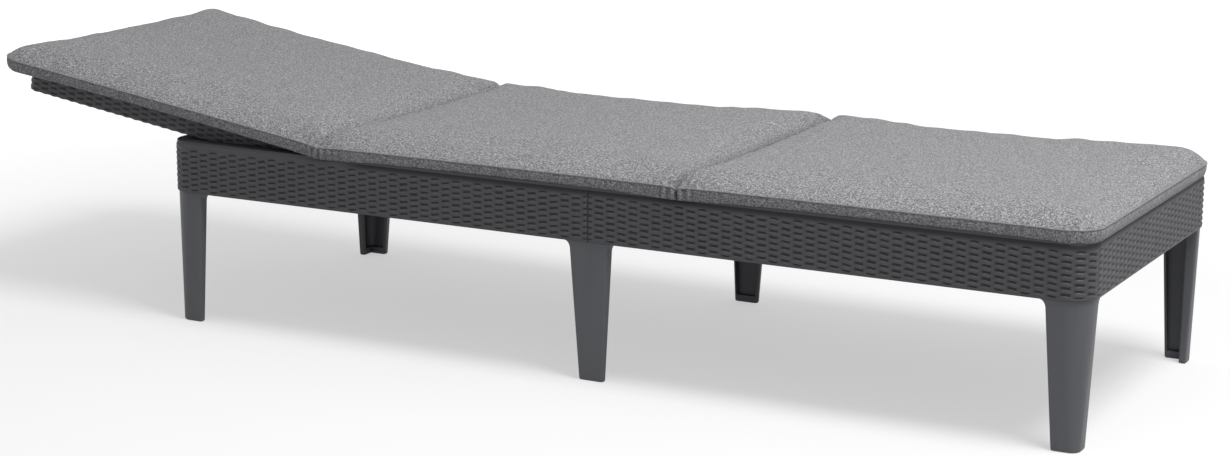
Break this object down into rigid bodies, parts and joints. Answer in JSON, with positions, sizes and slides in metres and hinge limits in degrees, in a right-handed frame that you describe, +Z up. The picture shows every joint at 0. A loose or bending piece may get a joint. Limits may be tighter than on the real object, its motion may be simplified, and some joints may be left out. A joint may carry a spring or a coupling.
{
  "type": "reclining sun lounger",
  "caption": "Low garden lounger with a woven-look resin frame, tapered legs, a reclining backrest on a notched prop and a folded grey cushion.",
  "frame": {"origin": "on the ground, under the middle of the whole lounger's box with the backrest at its lowest position", "axes": "+X along the lounger towards the foot end, +Y across it towards the far side, +Z up"},
  "size_m": [1.8657, 0.58, 0.4253],
  "materials": {
    "woven_resin": "injection-moulded graphite resin with a woven relief, satin to matte",
    "leg_resin": "smooth satin graphite resin",
    "zinc_steel": "zinc-plated, dull",
    "rubber": "matte black",
    "cushion_cloth": "grey melange woven outdoor cloth"
  },
  "bodies": {
    "frame": {"frame_head_half": "woven_resin", "frame_foot_half": "woven_resin", "leg_head_near": "leg_resin", "leg_head_far": "leg_resin", "leg_mid_near": "leg_resin", "leg_mid_far": "leg_resin", "leg_foot_near": "leg_resin", "leg_foot_far": "leg_resin", "leg_screw_head_near_1": "zinc_steel", "leg_screw_head_near_2": "zinc_steel", "leg_screw_head_far_1": "zinc_steel", "leg_screw_head_far_2": "zinc_steel", "leg_screw_mid_near_1": "zinc_steel", "leg_screw_mid_near_2": "zinc_steel", "leg_screw_mid_far_1": "zinc_steel", "leg_screw_mid_far_2": "zinc_steel", "leg_screw_foot_near_1": "zinc_steel", "leg_screw_foot_near_2": "zinc_steel", "leg_screw_foot_far_1": "zinc_steel", "leg_screw_foot_far_2": "zinc_steel", "seam_screw_1": "zinc_steel", "seam_screw_2": "zinc_steel", "seam_screw_3": "zinc_steel", "hinge_pin_near": "leg_resin", "hinge_pin_far": "leg_resin", "stop_buffer_near": "rubber", "stop_buffer_far": "rubber", "cushion_seat": "cushion_cloth", "cushion_foot": "cushion_cloth"},
    "backrest": {"backrest_panel": "woven_resin", "cushion_back": "cushion_cloth", "prop_pin_near": "leg_resin", "prop_pin_far": "leg_resin"},
    "prop": {"prop_bail": "leg_resin"}
  },
  "joints": [
    {"name": "recline", "type": "hinge", "parent": "frame", "child": "backrest", "pos_m": [-0.30881, 0, 0.2815], "axis": [0, 1, 0], "range_deg": [0, 54]},
    {"name": "prop_fold", "type": "hinge", "parent": "backrest", "child": "prop", "pos_m": [-0.43756, 0, 0.30028], "axis": [0, 1, 0], "range_deg": [-108, 0]}
  ],
  "couplings": [
    {"joint": "prop_fold", "follows": "recline", "ratio": -2}
  ]
}
